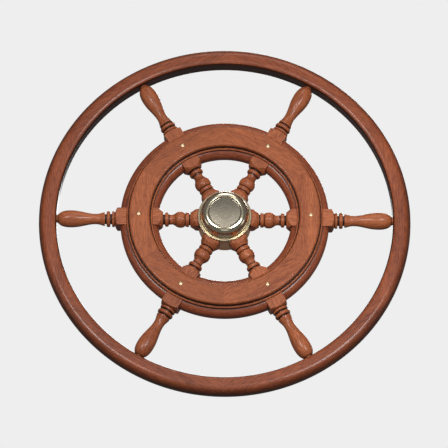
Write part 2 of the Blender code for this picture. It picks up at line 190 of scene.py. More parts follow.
# %% [markdown]
# ## Node groups for the finishes
# Wood and metal both need patterns that several finishes share, so each pattern is a group with named
# inputs. `new_group` makes the empty group, and `wire` adds a node, sets its values and links what goes
# into it, which keeps the recipes below short.


# %% Helpers for shader nodes
def new_group(name, inputs, outputs):
    """An empty shader group with sockets given as {name: (socket type, default)}."""
    tree = bpy.data.node_groups.new(name, "ShaderNodeTree")
    for label, (kind, default) in inputs.items():
        socket = tree.interface.new_socket(name=label, in_out="INPUT", socket_type="NodeSocket" + kind)
        if default is not None:
            socket.default_value = default
    for label, kind in outputs.items():
        tree.interface.new_socket(name=label, in_out="OUTPUT", socket_type="NodeSocket" + kind)
    return tree, tree.nodes.new("NodeGroupInput"), tree.nodes.new("NodeGroupOutput")


def wire(tree, kind, values=None, **settings):
    """Adds a node. values gives its inputs, each a number, a colour or another node's output."""
    node = tree.nodes.new(kind)
    for label, value in settings.items():
        setattr(node, label, value)
    for label, value in (values or {}).items():
        if isinstance(value, bpy.types.NodeSocket):
            tree.links.new(value, node.inputs[label])
        else:
            node.inputs[label].default_value = value
    return node


def stretched_noise(tree, vector, scale, detail, roughness=0.6, distortion=0.0):
    """Noise drawn out along the first axis, as wood fibres are. scale is in features per metre."""
    mapped = wire(tree, "ShaderNodeMapping", {"Vector": vector, "Scale": scale})
    values = {
        "Vector": mapped.outputs["Vector"],
        "Scale": 1.0,
        "Detail": detail,
        "Roughness": roughness,
        "Distortion": distortion,
    }
    return wire(tree, "ShaderNodeTexNoise", values).outputs["Fac"]


def between(tree, value, low, high, to_low=0.0, to_high=1.0):
    """Stretches value from low..high to to_low..to_high, and clamps it there."""
    values = {"Value": value, "From Min": low, "From Max": high, "To Min": to_low, "To Max": to_high}
    return wire(tree, "ShaderNodeMapRange", values, clamp=True).outputs["Result"]


def mix_colour(tree, amount, first, second, blend="MIX"):
    """Blends two colours. The node has sockets of several types, so its inputs are given by number."""
    node = wire(tree, "ShaderNodeMix", data_type="RGBA", blend_type=blend)
    for index, value in ((0, amount), (6, first), (7, second)):
        if isinstance(value, bpy.types.NodeSocket):
            tree.links.new(value, node.inputs[index])
        else:
            node.inputs[index].default_value = value
    return node.outputs[2]


def arithmetic(tree, operation, first, second):
    return wire(tree, "ShaderNodeMath", {0: first, 1: second}, operation=operation).outputs[0]


# %% [markdown]
# ## Timber
# Mahogany shows three things at arm's length: broad soft bands of lighter and darker wood, fine streaks
# along the grain, and short dark pores. All three follow the plank that the piece was sawn from, and a
# ring sector's grain runs straight, not round. So each wooden piece carries an attribute named timber,
# which is its place in its own plank, and the group below reads it. Two more attributes darken the wood:
# tone, because no two planks are alike, and a painted shade, which paints shade into the grooves, onto the
# rim's walls and where the rings lie on the felloes.

# %% Timber group
STREAK_DEPTH, BAND_DEPTH, PORE_DEPTH = 0.66, 0.30, 0.55
PORE_COLOUR = (0.06, 0.014, 0.008, 1)
# How much of the wood's colour is left where the painted shade is deepest.
LIGHT_LEFT_IN_PAINTED_SHADE = 0.12

timber, given_in, given_out = new_group(
    "timber",
    {
        "Light Wood": ("Color", (0.5, 0.2, 0.1, 1)),
        "Dark Wood": ("Color", (0.2, 0.05, 0.02, 1)),
    },
    {"Colour": "Color", "Roughness": "Float", "Height": "Float"},
)
plank = wire(timber, "ShaderNodeAttribute", attribute_name="timber").outputs["Vector"]
bands = between(timber, stretched_noise(timber, plank, (3, 34, 30), 3, distortion=0.4), 0.35, 0.65)
streaks = between(timber, stretched_noise(timber, plank, (60, 520, 460), 4, 0.7), 0.34, 0.68)
fibres = stretched_noise(timber, plank, (70, 1500, 1300), 2)
pores = between(timber, stretched_noise(timber, plank, (95, 1100, 950), 2, 0.5), 0.60, 0.68)
streaked = arithmetic(timber, "MULTIPLY", streaks, STREAK_DEPTH)
banded = arithmetic(timber, "MULTIPLY", bands, BAND_DEPTH)
figure = arithmetic(timber, "ADD", streaked, banded)
wood = mix_colour(timber, figure, given_in.outputs["Light Wood"], given_in.outputs["Dark Wood"])
wood = mix_colour(timber, arithmetic(timber, "MULTIPLY", pores, PORE_DEPTH), wood, PORE_COLOUR)
# This attribute is painted shade: it darkens the wood in grooves, on the rim's walls and where the rings
# lie on the felloes.
painted_shade = wire(timber, "ShaderNodeAttribute", attribute_name="painted_shade").outputs["Fac"]
tone = wire(timber, "ShaderNodeAttribute", attribute_name="tone").outputs["Fac"]
outside_painted_shade = between(timber, painted_shade, 0, 1, 1.0, LIGHT_LEFT_IN_PAINTED_SHADE)
lightness = arithmetic(timber, "MULTIPLY", outside_painted_shade, tone)
wood = mix_colour(timber, 1.0, wood, lightness, blend="MULTIPLY")
height = arithmetic(timber, "SUBTRACT", arithmetic(timber, "MULTIPLY", fibres, 0.35), pores)
timber.links.new(wood, given_out.inputs["Colour"])
timber.links.new(between(timber, streaks, 0, 1, 0.46, 0.58), given_out.inputs["Roughness"])
timber.links.new(height, given_out.inputs["Height"])

# %% [markdown]
# ## Lathe marks and handling wear on metal
# The hub, its plates and the cap are turned, so their faint tool marks run in circles round the axle. The
# group works out the radius from the Object coordinates and draws noise along it. A second, cloudy noise
# gives the patches that fingers and polish leave.

# %% Turned metal group
turned, given_in, given_out = new_group(
    "turned_metal",
    {
        "Metal": ("Color", (0.8, 0.6, 0.3, 1)),
        "Tarnish": ("Color", (0.3, 0.2, 0.1, 1)),
        "Tarnish Amount": ("Float", 0.3),
        "Least Roughness": ("Float", 0.15),
        "Most Roughness": ("Float", 0.35),
    },
    {"Colour": "Color", "Roughness": "Float", "Height": "Float"},
)
place = wire(turned, "ShaderNodeTexCoord").outputs["Object"]
across = wire(turned, "ShaderNodeVectorMath", {0: place, 1: (1, 0, 1)}, operation="MULTIPLY")
radius = wire(turned, "ShaderNodeVectorMath", {0: across.outputs[0]}, operation="LENGTH")
depth = wire(turned, "ShaderNodeSeparateXYZ", {0: place}).outputs["Y"]
track = wire(turned, "ShaderNodeCombineXYZ", {"X": radius.outputs["Value"], "Y": depth}).outputs[0]
marks = stretched_noise(turned, track, (1800, 1800, 1), 3)
clouds = between(turned, stretched_noise(turned, place, (38, 38, 38), 4), 0.35, 0.7)
spots = between(turned, stretched_noise(turned, place, (260, 260, 260), 3), 0.55, 0.75)
dulled = arithmetic(turned, "MULTIPLY", clouds, given_in.outputs["Tarnish Amount"])
metal = mix_colour(turned, dulled, given_in.outputs["Metal"], given_in.outputs["Tarnish"])
spotted = arithmetic(turned, "MULTIPLY", spots, dulled)
metal = mix_colour(turned, spotted, metal, given_in.outputs["Tarnish"])
rough = wire(turned, "ShaderNodeMix", {0: clouds}, data_type="FLOAT")
turned.links.new(given_in.outputs["Least Roughness"], rough.inputs[2])
turned.links.new(given_in.outputs["Most Roughness"], rough.inputs[3])
turned.links.new(metal, given_out.inputs["Colour"])
turned.links.new(rough.outputs[0], given_out.inputs["Roughness"])
turned.links.new(marks, given_out.inputs["Height"])
print("groups:", timber.name, turned.name)

# %% [markdown]
# ## The finishes
# Varnish is a thin clear coat: the coat gives the highlights, and the wood under it stays dull. Every
# finish is one Principled BSDF whose colour, roughness and bump come from a group. All the wood is
# mahogany, a little different in colour on the rim, the spokes and the rings, and painted darker on the
# felloes as painted shade for where they sit between the rings.


# %% Make the finishes
COAT_WEIGHT, COAT_ROUGHNESS, WOOD_SPECULAR = 0.35, 0.2, 0.2


def finish(name, group, group_values, bump, metallic=0.0, coat=0.0, coat_roughness=0.1, specular=0.5):
    """A Principled material fed by a pattern group. bump is the depth of the pattern in millimetres."""
    material = bpy.data.materials.new(name)
    material.use_nodes = True
    tree = material.node_tree
    shader = tree.nodes["Principled BSDF"]
    pattern = wire(tree, "ShaderNodeGroup", node_tree=group)
    for label, value in group_values.items():
        pattern.inputs[label].default_value = value
    relief = wire(tree, "ShaderNodeBump", {"Height": pattern.outputs["Height"], "Distance": bump * MM})
    tree.links.new(pattern.outputs["Colour"], shader.inputs["Base Color"])
    tree.links.new(pattern.outputs["Roughness"], shader.inputs["Roughness"])
    tree.links.new(relief.outputs["Normal"], shader.inputs["Normal"])
    shader.inputs["Metallic"].default_value = metallic
    shader.inputs["Specular IOR Level"].default_value = specular
    shader.inputs["Coat Weight"].default_value = coat
    shader.inputs["Coat Roughness"].default_value = coat_roughness
    return material


def varnished(name, light_wood, dark_wood):
    values = {"Light Wood": (*light_wood, 1), "Dark Wood": (*dark_wood, 1)}
    return finish(name, timber, values, 0.05, 0.0, COAT_WEIGHT, COAT_ROUGHNESS, WOOD_SPECULAR)


def lathe_turned(name, metal, tarnish, amount, least, most, bump=0.01):
    values = {
        "Metal": (*metal, 1),
        "Tarnish": (*tarnish, 1),
        "Tarnish Amount": amount,
        "Least Roughness": least,
        "Most Roughness": most,
    }
    return finish(name, turned, values, bump, metallic=1.0)


WOODS = {
    # name: (light wood, dark wood)
    "mahogany_rim": ((0.41, 0.106, 0.038), (0.10, 0.019, 0.009)),
    "mahogany_spoke": ((0.56, 0.168, 0.063), (0.17, 0.037, 0.015)),
    # The felloes' mahogany is painted darker: painted shade for where they sit between the rings.
    "mahogany_felloe": ((0.40, 0.100, 0.038), (0.11, 0.022, 0.010)),
    "mahogany_facing": ((0.52, 0.150, 0.052), (0.17, 0.036, 0.014)),
}
METALS = {
    # name: (metal, tarnish, tarnish amount, least roughness, most roughness[, bump])
    "brass_screw": ((0.74, 0.54, 0.34), (0.44, 0.27, 0.14), 0.5, 0.38, 0.50),
    "bronze_hub": ((0.92, 0.58, 0.35), (0.55, 0.33, 0.19), 0.5, 0.52, 0.64),
    "brass_flange": ((0.50, 0.42, 0.28), (0.30, 0.22, 0.12), 0.5, 0.24, 0.36),
    "polished_brass": ((0.76, 0.68, 0.50), (0.44, 0.38, 0.26), 0.4, 0.13, 0.20),
    "satin_disc": ((0.52, 0.46, 0.36), (0.26, 0.23, 0.18), 0.6, 0.20, 0.26, 0.001),
    "stainless_steel": ((0.66, 0.66, 0.67), (0.42, 0.41, 0.40), 0.3, 0.22, 0.34),
    "bearing_bronze": ((0.60, 0.40, 0.20), (0.30, 0.18, 0.09), 0.5, 0.32, 0.45),
}
FINISHES = {name: varnished(name, *values) for name, values in WOODS.items()}
FINISHES.update({name: lathe_turned(name, *values) for name, values in METALS.items()})
print("finishes:", ", ".join(FINISHES))

# %% [markdown]
# ## Outlines, spins and cuts
# Nearly every piece here is an outline swept round an axis. `outline` draws the chain of edges and
# rounds its corners with a vertex bevel, so a list of corners is all that a moulding needs. SOFT rounds
# a corner as far as its neighbours allow, which turns a few points into a flowing handle.

# %% Outline and spin helpers
SOFT = "soft"
SOFT_SHARE = 0.47


def rotate(bm, angle, axis="Z"):
    bmesh.ops.rotate(bm, verts=bm.verts, matrix=Matrix.Rotation(angle, 3, axis))


def move(bm, place):
    """place is in millimetres, as everywhere on the bench."""
    bmesh.ops.translate(bm, verts=bm.verts, vec=Vector(place) * MM)


def on_circle(radius, angle, height):
    return radius * math.cos(angle), radius * math.sin(angle), height


def outline(corners, closed, segments):
    """A chain of edges through (radius, height, rounding) corners, all in millimetres."""
    bm = bmesh.new()
    verts = [bm.verts.new((radius * MM, 0, height * MM)) for radius, height, _ in corners]
    following = verts[1:] + verts[:1] if closed else verts[1:]
    for first, second in zip(verts, following):
        bm.edges.new((first, second))
    cuts = []
    for vertex, (_, _, rounding) in zip(verts, corners):
        if rounding == SOFT:
            rounding = SOFT_SHARE * min(edge.calc_length() for edge in vertex.link_edges) / MM
        cuts.append((vertex, rounding))
    for vertex, rounding in cuts:
        if rounding:
            bmesh.ops.bevel(
                bm,
                geom=[vertex],
                offset=rounding * MM,
                offset_type="OFFSET",
                affect="VERTICES",
                segments=segments,
                profile=0.5,
                clamp_overlap=False,
                material=-1,
            )
    return bm


def spin_round(bm, steps):
    """Sweeps an outline once round the bench's upright axis."""
    middle, axis, circle = (0, 0, 0), (0, 0, 1), 2 * math.pi
    geometry = [*bm.verts, *bm.edges]
    bmesh.ops.spin(bm, geom=geometry, cent=middle, axis=axis, angle=circle, steps=steps, use_merge=True)


def turn(corners, closed=True, steps=96, segments=5):
    """A solid of revolution about the bench's upright axis."""
    bm = outline(corners, closed, segments)
    spin_round(bm, steps)
    bmesh.ops.remove_doubles(bm, verts=bm.verts, dist=0.001 * MM)
    bmesh.ops.recalc_face_normals(bm, faces=bm.faces)
    return bm


def sweep(corners, half_angle, steps, segments=5):
    """A closed section swept half_angle each way from the bench's X axis."""
    bm = outline(corners, True, segments)
    bmesh.ops.contextual_create(bm, geom=bm.edges)
    rotate(bm, -half_angle)
    geometry = [*bm.verts, *bm.edges, *bm.faces]
    bmesh.ops.spin(bm, geom=geometry, cent=(0, 0, 0), axis=(0, 0, 1), angle=2 * half_angle, steps=steps)
    bmesh.ops.recalc_face_normals(bm, faces=bm.faces)
    return bm


def ease(bm, edges, width, segments=2):
    """Takes the sharpness off some edges."""
    bmesh.ops.bevel(
        bm,
        geom=list(set(edges)),
        offset=width * MM,
        offset_type="OFFSET",
        affect="EDGES",
        segments=segments,
        profile=0.5,
        clamp_overlap=True,
        material=-1,
    )


def slice_off(bm, point, normal):
    """Saws off what lies on the normal's side of a plane and closes the cuts."""
    geometry = [*bm.verts, *bm.edges, *bm.faces]
    place = Vector(point) * MM
    bmesh.ops.bisect_plane(bm, geom=geometry, plane_co=place, plane_no=normal, clear_outer=True)
    bmesh.ops.holes_fill(bm, edges=[edge for edge in bm.edges if edge.is_boundary], sides=0)


def loose_object(bm, name):
    mesh = bpy.data.meshes.new(name)
    bm.to_mesh(mesh)
    bm.free()
    obj = bpy.data.objects.new(name, mesh)
    bpy.context.scene.collection.objects.link(obj)
    return obj


def carve(bm, cutter_bm):
    """Takes one solid out of another with an exact Boolean and returns the result as a new bmesh."""
    solid, cutter = loose_object(bm, "solid"), loose_object(cutter_bm, "cutter")
    modifier = solid.modifiers.new("carve", "BOOLEAN")
    modifier.object = cutter
    modifier.solver = "EXACT"
    result = bmesh.new()
    result.from_object(solid, bpy.context.evaluated_depsgraph_get())
    for obj in (solid, cutter):
        mesh = obj.data
        bpy.data.objects.remove(obj)
        bpy.data.meshes.remove(mesh)
    return result


# %% [markdown]
# ## Finishing a piece
# `mark_timber` writes each point's place in its plank: along the grain, across it and through it. A shift
# for each piece keeps two pieces from showing the same figure. `hand_over` stands a piece up, smooths its
# round faces, gives it its finish, hangs it on the body that it rides and hides the node that it stands
# for.
# Weighted normals keep the flats flat beside a rounded edge.


# %% Hand-over helpers
TONES = [1.10, 1.02, 0.90, 0.99, 0.93, 1.04]
PLANK_SHIFT = Vector((0.83, 0.37, 0.59))
SHARP_DEGREES = 32


def mark_timber(bm, grain_axis, number):
    """grain_axis is 0 for a plank along the bench's X, and 1 along its Y."""
    layer = bm.verts.layers.float_vector.new("timber")
    tone = bm.verts.layers.float.new("tone")
    shift = PLANK_SHIFT * (number + 1)
    for vertex in bm.verts:
        x, y, z = vertex.co
        vertex[layer] = shift + (Vector((x, y, z)) if grain_axis == 0 else Vector((y, x, z)))
        vertex[tone] = TONES[number - 1]


def mark_painted_shade(bm, darkness):
    """Writes the painted shade of each point, from 0 to 1. darkness takes the point in millimetres."""
    layer = bm.verts.layers.float.new("painted_shade")
    for vertex in bm.verts:
        vertex[layer] = min(1.0, max(0.0, darkness(vertex.co / MM)))


def hand_over(name, bm, node, slot, body="wheel", finishes=None):
    """Turns a finished bmesh on the bench into the piece that stands for a node."""
    for face in bm.faces:
        face.smooth = len(face.verts) <= 4
    bmesh.ops.transform(bm, matrix=BENCH, verts=bm.verts)
    mesh = bpy.data.meshes.new(name)
    bm.to_mesh(mesh)
    bm.free()
    mesh.set_sharp_from_angle(angle=math.radians(SHARP_DEGREES))
    for label in finishes or [slot]:
        mesh.materials.append(FINISHES[label])
    piece = bpy.data.objects.new(name, mesh)
    bpy.context.scene.collection.objects.link(piece)
    weighted = piece.modifiers.new("flat_faces_stay_flat", "WEIGHTED_NORMAL")
    weighted.keep_sharp = True
    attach(piece, body)
    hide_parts(node)
    return piece


def spoke_angle(number):
    """Spokes are numbered from 1, anticlockwise from the one on the right."""
    return 2 * math.pi * (number - 1) / SPOKES


def repeat_wood(name, prototype, grain_axis, slot, turn_by=0.0):
    """Six copies of a wooden prototype round the axle, each with its own stretch of timber."""
    for number in range(1, SPOKES + 1):
        bm = prototype.copy()
        mark_timber(bm, grain_axis, number)
        rotate(bm, spoke_angle(number) + turn_by)
        triangles = sum(len(face.verts) - 2 for face in bm.faces)
        hand_over(f"wood_{name}_{number}", bm, f"{name}_{number}", slot)
    prototype.free()
    print(f"{name}: 6 pieces of {triangles} triangles")


def rod(radius, start, end, steps=48):
    """A plain pin along the bench's X axis, for cutting sockets."""
    bm = turn([(0, end, 0), (radius, end, 0), (radius, start, 0), (0, start, 0)], False, steps)
    rotate(bm, math.pi / 2, "Y")
    return bm


# %% [markdown]
# ## Rim
# The rim is six sawn sectors glued end to end. Its front has a flat in the middle, a wide soft facet
# outside that catches the light, and a smaller round inside. The section is drawn once and swept, and a
# socket takes the spoke's end tenon. Painted shade darkens the inner wall and the outer edge.

# %% Rim sectors
rim_in, rim_out, rim_back, rim_front = bench_size("rim_segment_1")
rim_half = (rim_front - rim_back) / 2
GLUE_LINE, JOINT_GAP = 0.005, 0.15
rim_section = [
    (rim_in + 0.2, 0, 4.0),
    (rim_in, rim_half - 6.5, 2.0),
    (rim_in + 2.0, rim_half - 2.1, 1.8),
    (rim_in + 6.6, rim_half, 2.0),
    (rim_out - 12.2, rim_half, 3.2),
    (rim_out - 5.6, rim_half - 3.2, 3.2),
    (rim_out - 0.8, rim_half - 10.5, 3.0),
    (rim_out, 0, 5.0),
    (rim_out - 0.8, 10.5 - rim_half, 2.6),
    (rim_out - 5.6, 3.2 - rim_half, 1.6),
    (rim_out - 12.2, -rim_half, 1.2),
    (rim_in + 6.6, -rim_half, 2.0),
    (rim_in + 2.0, 2.1 - rim_half, 1.8),
    (rim_in, 6.5 - rim_half, 2.0),
]
rim = sweep(rim_section, math.pi / SPOKES - GLUE_LINE / rim_in, steps=48)
RIM_TENON_R, RIM_TENON_END = 7.5, 331.0
rim = carve(rim, rod(RIM_TENON_R + 0.15, rim_in - 12, RIM_TENON_END + 0.2))
# Painted shade: how dark the rim's inner wall is painted, and how far in from the outer edge the painted
# shade starts.
INNER_WALL, INNER_WALL_DARKNESS = rim_in + 2.4, 0.9
OUTER_EDGE, OUTER_EDGE_DARKNESS = 10, 0.85


def rim_painted_shade(place):
    """Painted shade: dark on the rim's inner wall, and darker and darker towards its outer edge."""
    radius = math.hypot(place.x, place.y)
    if radius < INNER_WALL:
        return INNER_WALL_DARKNESS
    return OUTER_EDGE_DARKNESS * (radius - rim_out + OUTER_EDGE) / OUTER_EDGE


mark_painted_shade(rim, rim_painted_shade)
repeat_wood("rim_segment", rim, 1, "mahogany_rim")

# %% [markdown]
# ## Spokes
# A spoke starts as a square bar. The lathe cuts its beads, hollows and handle, and leaves it square where
# the rings clasp it and where it meets the hub. So the outline is turned first, wide enough to swallow the
# bar at the square parts, and then four saw cuts give the flats. The curved shoulders where the square
# turns round come by themselves, as they do on a lathe.

# %% Turned spoke
BAR_HALF, BAR_SWALLOWED = 17.0, 25.0
HUB_TENON_R, HUB_TENON_START = 8.0, 30.0
spoke_outline = [
    (HUB_TENON_START, 0, 0),
    (HUB_TENON_START, HUB_TENON_R, 0.8),
    (48.6, HUB_TENON_R, 0),
    (48.6, 21.6, 0),
    (54.0, 21.2, SOFT),
    (58.4, 17.4, SOFT),
    (64.5, 13.8, 0.5),
    (64.7, 10.4, 0.3),
    (66.8, 10.4, 0.3),
    (66.9, 13.2, 0.4),
    (69.9, 14.2, SOFT),
    (73.3, 13.3, 0.5),
    (73.7, 11.4, 0.3),
    (77.3, 14.7, SOFT),
    (83.2, 15.6, SOFT),
    (89.0, 14.6, SOFT),
    (93.2, 11.6, SOFT),
    (96.6, 9.4, SOFT),
    (101.0, 9.2, SOFT),
    (105.2, 10.2, 0.4),
    (105.6, 12.7, 0.4),
    (109.0, 13.9, SOFT),
    (112.1, 12.7, 0.5),
    (112.2, 9.8, 0.4),
    (115.4, 9.8, 0.4),
    (115.8, 15.0, 0.5),
    (119.8, 18.4, SOFT),
    (126.5, BAR_SWALLOWED, 0.6),
    (201.2, BAR_SWALLOWED, 0.6),
    (205.4, 15.8, 0.4),
    (206.0, 13.2, 0.3),
    (209.0, 15.6, SOFT),
    (211.8, 14.4, 0.5),
    (212.0, 9.8, 0.3),
    (214.6, 9.8, 0.3),
    (215.1, 14.1, 0.6),
    (218.5, 15.7, SOFT),
    (221.9, 14.1, 0.6),
    (222.4, 9.6, 0.3),
    (225.0, 9.6, 0.3),
    (225.2, 13.2, 0.5),
    (229.0, 12.5, SOFT),
    (236.0, 10.2, SOFT),
    (245.0, 9.6, SOFT),
    (255.0, 10.9, SOFT),
    (266.0, 13.3, SOFT),
    (277.0, 15.5, SOFT),
    (288.0, 16.3, SOFT),
    (298.0, 15.9, SOFT),
    (305.5, 14.0, 1.2),
    (311.0, 11.0, SOFT),
    (314.2, 7.5, 0.4),
    (RIM_TENON_END, RIM_TENON_R, 0.8),
    (RIM_TENON_END, 0, 0),
]
spoke = turn([(radius, reach, soft) for reach, radius, soft in reversed(spoke_outline)], False, 72, 4)
for normal in ((1, 0, 0), (-1, 0, 0), (0, 1, 0), (0, -1, 0)):
    slice_off(spoke, Vector(normal) * BAR_HALF, normal)


def is_bar_corner(edge):
    """True for the long straight edges that the four saw cuts leave."""
    first, second = (vertex.co for vertex in edge.verts)
    along = abs((second - first).normalized().z)
    return along > 0.99 and len(edge.link_faces) == 2 and edge.calc_face_angle() > math.radians(80)


bar_corners = [edge for edge in spoke.edges if edge.calc_length() > 3 * MM and is_bar_corner(edge)]
ease(spoke, bar_corners, 0.7)
print("spoke: eased", len(bar_corners), "edges of the square bar")
rotate(spoke, math.pi / 2, "Y")

# %% [markdown]
# The hub is round and the bar's end is flat, so the end is coped to fit. A drum a hair larger than the
# real one, with a hole left for the tenon, cuts it. A screw hole goes through the square part as well, and
# shade is painted into the grooves between the beads.

# %% Cope the spoke and drill it
hub_in, hub_r, hub_back, hub_front = bench_size("hub_drum")
coping = turn([(hub_r + 0.2, 40, 0), (hub_r + 0.2, -40, 0), (0, -40, 0), (0, 40, 0)], False, 144)
coping = carve(coping, rod(HUB_TENON_R + 0.05, -60, 60))
spoke = carve(spoke, coping)
screw_low, screw_high = (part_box("ring_screw_1")[corner] for corner in (0, 1))
SCREW_CIRCLE = (screw_low.x + screw_high.x) / 2 / MM
SCREW_HEAD_R = (screw_high.x - screw_low.x) / 2 / MM
SCREW_SHANK_R = 2.2


def upright_pin(radius, top, bottom, x, steps=32):
    bm = turn([(0, top, 0), (radius, top, 0), (radius, bottom, 0), (0, bottom, 0)], False, steps)
    move(bm, (x, 0, 0))
    return bm


spoke = carve(spoke, upright_pin(SCREW_SHANK_R + 0.3, 40, -40, SCREW_CIRCLE))
# Painted shade in the grooves between the beads.
NEAR_A_BEAD, SHALLOW, DEEP = 3.4, 0.6, 3.2


def painted_shade_in_spoke_grooves(place):
    """Painted shade in the grooves: how far a point lies below the tallest bead near it, as a share of a
    deep groove.
    """
    near = [radius for reach, radius, _ in spoke_outline if abs(reach - place.x) < NEAR_A_BEAD]
    below = min(max(near, default=0), BAR_HALF) - math.hypot(place.y, place.z)
    return (below - SHALLOW) / (DEEP - SHALLOW)


mark_painted_shade(spoke, painted_shade_in_spoke_grooves)
repeat_wood("spoke", spoke, 0, "mahogany_spoke")

# %% [markdown]
# ## Felloes
# The felloes are curved blocks with nearly round edges. Each is swept as far as the middle of its spokes
# and then sawn off square to them, so that its flat ends lie against the bars.

# %% Felloes
felloe_in, felloe_out, felloe_back, felloe_front = bench_size("felloe_1")
FELLOE_ROUND, RING_HALF = 12.6, 24.5
# Painted shade on the felloes where the rings lie on them.
SIDE_DARKNESS, SHADED_WIDTH = 0.6, 3
felloe_section = [
    (felloe_in, felloe_front, FELLOE_ROUND),
    (felloe_out, felloe_front, FELLOE_ROUND),
    (felloe_out, felloe_back, FELLOE_ROUND),
    (felloe_in, felloe_back, FELLOE_ROUND),
]
felloe = sweep(felloe_section, math.pi / SPOKES, steps=48, segments=9)
for side in (1, -1):
    end = side * math.pi / SPOKES
    normal = Vector((-math.sin(end), math.cos(end), 0)) * side
    slice_off(felloe, normal * -(BAR_HALF + JOINT_GAP), normal)
ends = [edge for face in felloe.faces if len(face.verts) > 12 for edge in face.edges]
ease(felloe, ends, 0.4)


def painted_shade_under_rings(place):
    """Painted shade: dark where the rings lie on the felloe, and lighter and lighter beside them."""
    outside_ring = abs(math.hypot(place.x, place.y) - (felloe_in + felloe_out) / 2) - RING_HALF
    return SIDE_DARKNESS * (1 - outside_ring / SHADED_WIDTH)


mark_painted_shade(felloe, painted_shade_under_rings)
repeat_wood("felloe", felloe, 1, "mahogany_felloe", turn_by=math.pi / SPOKES)

# %% [markdown]
# ## Moulded rings
# The front and rear rings share one moulding: a flat face, a near-upright wall on each side, and at its
# foot a small bead that stands out over the felloes. The front ring is countersunk for its screws.

# %% Front and rear rings
facing_in, facing_out, facing_back, facing_front = bench_size("front_ring_segment_1")
facing_middle, facing_half = (facing_in + facing_out) / 2, (facing_out - facing_in) / 2
MOULDING_GROOVE = facing_back + 1.9
# Painted shade in the moulding's groove and on the wall above it.
GROOVE_START, GROOVE_END, RING_WALL_DARKNESS = 3.0, 5.4, 0.36
moulding = [
    (facing_half, facing_back, 0.3),
    (facing_half, facing_back + 2.6, 1.1),
    (facing_half - 2.7, facing_back + 4.0, 1.1),
    (facing_half - 3.3, MOULDING_GROOVE, 0.2),
    (facing_half - 4.6, MOULDING_GROOVE, 0.2),
    (facing_half - 4.9, facing_front - 2.6, 1.4),
    (facing_half - 7.2, facing_front, 1.3),
]


def ring_section(side):
    """The whole section, facing up for side 1 and down for side -1."""
    inner = [(-across, height, rounding) for across, height, rounding in reversed(moulding)]
    return [(facing_middle + a, side * height, rounding) for a, height, rounding in moulding + inner]


ring_half_angle = math.pi / SPOKES - GLUE_LINE / facing_in
front_ring = sweep(ring_section(1), ring_half_angle, steps=40, segments=4)
countersink = turn(
    [
        (0, facing_front + 3, 0),
        (SCREW_HEAD_R + 0.3, facing_front + 3, 0),
        (SCREW_HEAD_R + 0.3, facing_front - 0.2, 0),
        (SCREW_SHANK_R + 0.3, facing_front - 2.1, 0),
        (SCREW_SHANK_R + 0.3, 0, 0),
        (0, 0, 0),
    ],
    False,
    32,
)
move(countersink, (SCREW_CIRCLE, 0, 0))
front_ring = carve(front_ring, countersink)


def painted_shade_in_ring_groove(place):
    """Painted shade: 1 at the bottom of the moulding's groove, less on the wall above it, and 0 elsewhere.
    """
    across = facing_half - abs(math.hypot(place.x, place.y) - facing_middle)
    if not GROOVE_START < across < GROOVE_END:
        return 0
    return 1 if abs(place.z) < MOULDING_GROOVE + 0.5 else RING_WALL_DARKNESS


mark_painted_shade(front_ring, painted_shade_in_ring_groove)
repeat_wood("front_ring_segment", front_ring, 1, "mahogany_facing")
rear_ring = sweep(ring_section(-1), ring_half_angle, steps=40, segments=4)
mark_painted_shade(rear_ring, painted_shade_in_ring_groove)
repeat_wood("rear_ring_segment", rear_ring, 1, "mahogany_facing")

# %% [markdown]
# ## Screws
# Brass wood screws with raised countersunk heads and one slot. A screw is an outline turned on its own
# axis, and a thin block cuts the slot. The slots stop where the screwdriver left them, so each turns a
# little differently.


# %% Slotted screws
def slotted_screw(head_r, dome, cone, shank_r, length, slot_width, slot_depth):
    """A countersunk screw with its head's edge at height 0 and its point down."""
    bm = turn(
        [
            (0, dome, 0),
            (head_r * 0.62, dome * 0.72, SOFT),
            (head_r, 0, 0.12),
            (head_r - 0.1, -0.25, 0),
            (shank_r, -cone, 0.3),
            (shank_r, -length + 3, 0.3),
            (0, -length, 0),
        ],
        False,
        40,
    )
    slot = bmesh.new()
    bmesh.ops.create_cube(slot, size=1)
    bmesh.ops.scale(slot, vec=Vector((slot_width, 4 * head_r, 2 * slot_depth)) * MM, verts=slot.verts)
    move(slot, (0, 0, dome))
    return carve(bm, slot)


def set_screws(name, prototype, circle_r, height, angles, slot_degrees, facing_up=True):
    """Copies of a screw on a circle round the axle, their slots turned by slot_degrees."""
    for number, (angle, slot_turn) in enumerate(zip(angles, slot_degrees), 1):
        bm = prototype.copy()
        rotate(bm, math.radians(slot_turn))
        if not facing_up:
            rotate(bm, math.pi, "X")
        move(bm, on_circle(circle_r, angle, height))
        hand_over(f"metal_{name}_{number}", bm, f"{name}_{number}", "brass_screw")
    prototype.free()
    print(name, "x", len(angles))


ring_screw = slotted_screw(SCREW_HEAD_R, 1.1, 2.0, SCREW_SHANK_R, 54.5, 0.9, 1.1)
all_spokes = [spoke_angle(number) for number in range(1, SPOKES + 1)]
set_screws("ring_screw", ring_screw, SCREW_CIRCLE, facing_front, all_spokes, [4, -6, 9, -3, 12, 2])

# %% [markdown]
# ## Hub drum and plates
# The drum is a bronze turning with six sockets and a keyway. Only a little of it shows between the
# spokes. The bright flange in front and the plain plate behind are held by three screws each.

# %% Drum, flange and rear plate
flange_in, flange_r, flange_low, flange_high = bench_size("hub_front_plate")
plate_in, plate_r, plate_low, plate_high = bench_size("hub_rear_plate")
RECESS_R, RECESS_FLOOR = flange_in, 12.2
KEY_WIDTH, KEY_HEIGHT, KEY_LENGTH = 6.0, 5.0, 30.0
KEY_RADIUS, KEY_MIDDLE = 12.9, -8.0
PLATE_SCREW_HEAD_R, PLATE_SCREW_SHANK_R, PLATE_SCREW_SUNK = 2.6, 1.4, 0.4
screw_angles = [spoke_angle(1.5), spoke_angle(3.5), spoke_angle(5.5)]


